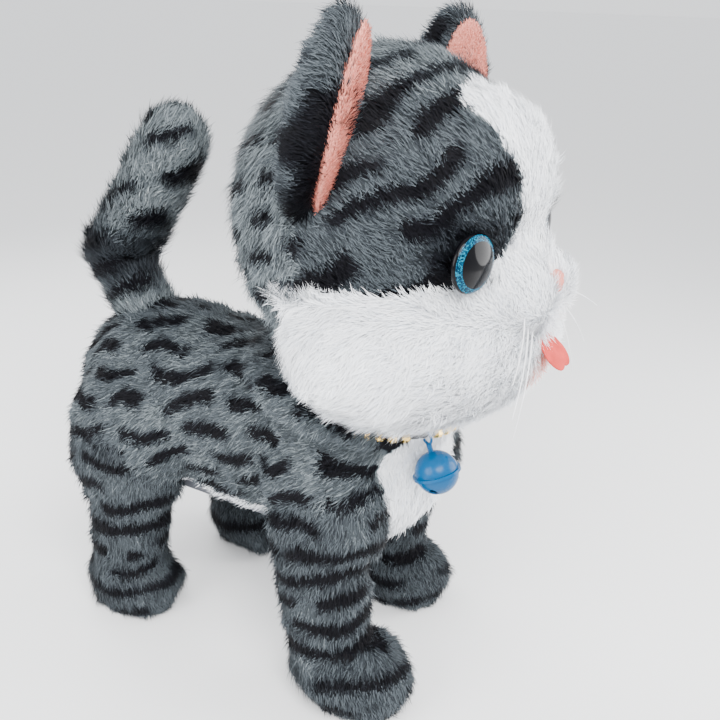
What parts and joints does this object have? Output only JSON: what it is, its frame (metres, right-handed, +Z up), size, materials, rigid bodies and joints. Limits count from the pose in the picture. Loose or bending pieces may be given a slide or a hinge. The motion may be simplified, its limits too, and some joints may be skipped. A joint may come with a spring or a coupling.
{
  "type": "walking plush kitten",
  "caption": "Battery-driven walking plush kitten in grey tabby pile with white cheeks and bib, swinging legs, nodding head, wagging tail and a jingle bell collar.",
  "frame": {"origin": "centre of the bounding box on the floor plane, under the belly", "axes": "+Z up, the kitten faces -Y, +X is its left side"},
  "size_m": [0.1382, 0.2472, 0.28],
  "materials": {
    "tabby_plush": "grey tabby plush pile",
    "white_plush": "white plush pile",
    "pink_plush": "salmon pink short plush",
    "coral_felt": "coral red felt",
    "fibre_filling": "polyester fibre filling",
    "eye_gloss": "glossy black with teal glitter ring",
    "washer_plastic": "white plastic lock washer",
    "nylon_whisker": "white nylon monofilament",
    "grey_abs": "grey moulded plastic",
    "white_acetal": "natural acetal",
    "steel": "bright steel",
    "cell_wrap": "dark printed sleeve, no text",
    "board_green": "green solder mask",
    "black_plastic": "black plastic or elastic",
    "gold_bead": "gold coloured nuggets",
    "blue_enamel": "glossy blue"
  },
  "bodies": {
    "torso": {"torso_plush": "tabby_plush", "chassis_left": "grey_abs", "chassis_right": "grey_abs", "chassis_screws": "steel", "gearbox_plate": "grey_abs", "motor": "steel", "gear_pins": "steel", "hip_axles": "steel", "axle_caps": "steel", "battery_tray": "grey_abs", "battery_cells": "cell_wrap", "battery_contacts": "steel", "circuit_board": "board_green", "speaker": "black_plastic", "switch_body": "black_plastic", "neck_post": "grey_abs", "pivot_pins": "steel", "tail_bracket": "grey_abs", "collar_cord": "black_plastic", "collar_beads": "gold_bead"},
    "head": {"head_plush": "tabby_plush", "cheek_plush": "white_plush", "head_stuffing": "fibre_filling", "head_frame": "grey_abs", "ear_right": "tabby_plush", "ear_left": "tabby_plush", "ear_lining_right": "pink_plush", "ear_lining_left": "pink_plush", "eye_right": "eye_gloss", "eye_left": "eye_gloss", "eye_washers": "washer_plastic", "nose": "pink_plush", "tongue": "coral_felt", "whiskers": "nylon_whisker"},
    "tail": {"tail_plush": "tabby_plush", "tail_core": "grey_abs"},
    "leg_front_right": {"leg_plush_front_right": "tabby_plush", "leg_frame_front_right": "grey_abs"},
    "leg_front_left": {"leg_plush_front_left": "tabby_plush", "leg_frame_front_left": "grey_abs"},
    "leg_rear_right": {"leg_plush_rear_right": "tabby_plush", "leg_frame_rear_right": "grey_abs"},
    "leg_rear_left": {"leg_plush_rear_left": "tabby_plush", "leg_frame_rear_left": "grey_abs"},
    "crank": {"crankshaft": "steel", "crank_discs": "white_acetal", "crank_gear": "white_acetal"},
    "idler_2": {"idler_gear_2": "white_acetal"},
    "idler_1": {"idler_gear_1": "white_acetal"},
    "motor_rotor": {"motor_pinion": "white_acetal"},
    "yoke_bar_right": {"yoke_right": "white_acetal"},
    "yoke_bar_left": {"yoke_left": "white_acetal"},
    "bell": {"bell_loop": "blue_enamel", "bell_upper": "blue_enamel", "bell_lower": "blue_enamel"},
    "bell_clapper": {"clapper": "steel"},
    "door": {"battery_door": "grey_abs", "door_screw": "steel"},
    "power_switch": {"switch_knob": "black_plastic"},
    "back_button": {"touch_button": "black_plastic"}
  },
  "joints": [
    {"name": "head_nod", "type": "hinge", "parent": "torso", "child": "head", "pos_m": [0, -0.0334, 0.14], "axis": [1, 0, 0], "range_deg": [-4, 6]},
    {"name": "tail_wag", "type": "hinge", "parent": "torso", "child": "tail", "pos_m": [0, 0.0886, 0.145], "axis": [0, 0, 1], "range_deg": [-20, 20]},
    {"name": "front_right_leg", "type": "hinge", "parent": "torso", "child": "leg_front_right", "pos_m": [0, -0.0404, 0.085], "axis": [1, 0, 0], "range_deg": [-6, 18]},
    {"name": "front_left_leg", "type": "hinge", "parent": "torso", "child": "leg_front_left", "pos_m": [0, -0.0404, 0.085], "axis": [1, 0, 0], "range_deg": [-18, 6]},
    {"name": "rear_right_leg", "type": "hinge", "parent": "torso", "child": "leg_rear_right", "pos_m": [0, 0.0686, 0.085], "axis": [1, 0, 0], "range_deg": [-18, 6]},
    {"name": "rear_left_leg", "type": "hinge", "parent": "torso", "child": "leg_rear_left", "pos_m": [0, 0.0686, 0.085], "axis": [1, 0, 0], "range_deg": [-6, 18]},
    {"name": "yoke_right_slide", "type": "slide", "parent": "torso", "child": "yoke_bar_right", "axis": [0, 1, 0], "range_m": [-0.00125, 0.00374]},
    {"name": "yoke_left_slide", "type": "slide", "parent": "torso", "child": "yoke_bar_left", "axis": [0, 1, 0], "range_m": [-0.00374, 0.00125]},
    {"name": "crank_spin", "type": "hinge", "parent": "torso", "child": "crank", "pos_m": [0, 0.0146, 0.1], "axis": [1, 0, 0], "continuous": true},
    {"name": "idler_2_spin", "type": "hinge", "parent": "torso", "child": "idler_2", "pos_m": [0, 0.0256, 0.10336], "axis": [1, 0, 0], "continuous": true},
    {"name": "idler_1_spin", "type": "hinge", "parent": "torso", "child": "idler_1", "pos_m": [0, 0.0366, 0.1], "axis": [1, 0, 0], "continuous": true},
    {"name": "motor_spin", "type": "hinge", "parent": "torso", "child": "motor_rotor", "pos_m": [0, 0.04792, 0.098], "axis": [1, 0, 0], "continuous": true},
    {"name": "bell_swing", "type": "hinge", "parent": "torso", "child": "bell", "pos_m": [-0.02, -0.0724, 0.12478], "axis": [0, 0.9336, -0.3584], "range_deg": [-20, 20]},
    {"name": "clapper_roll", "type": "slide", "parent": "bell", "child": "bell_clapper", "axis": [1, 0, 0], "range_m": [-0.0025, 0.0025]},
    {"name": "battery_door_hinge", "type": "hinge", "parent": "torso", "child": "door", "pos_m": [0, 0.0425, 0.06295], "axis": [1, 0, 0], "range_deg": [0, 75]},
    {"name": "power_switch_slide", "type": "slide", "parent": "torso", "child": "power_switch", "axis": [1, 0, 0], "range_m": [0, 0.0038]},
    {"name": "back_button_press", "type": "slide", "parent": "torso", "child": "back_button", "axis": [0, 0, -1], "range_m": [0, 0.0012], "stiffness_N_per_m": 400}
  ],
  "couplings": [
    {"joint": "front_left_leg", "follows": "front_right_leg", "ratio": -1},
    {"joint": "rear_right_leg", "follows": "front_right_leg", "ratio": -1},
    {"joint": "rear_left_leg", "follows": "front_right_leg", "ratio": 1},
    {"joint": "yoke_right_slide", "follows": "front_right_leg", "m_per_rad": 0.01188},
    {"joint": "yoke_left_slide", "follows": "front_right_leg", "m_per_rad": -0.01188},
    {"joint": "idler_1_spin", "follows": "motor_spin", "ratio": -0.27778},
    {"joint": "idler_2_spin", "follows": "motor_spin", "ratio": 0.07716},
    {"joint": "crank_spin", "follows": "motor_spin", "ratio": -0.021433}
  ]
}
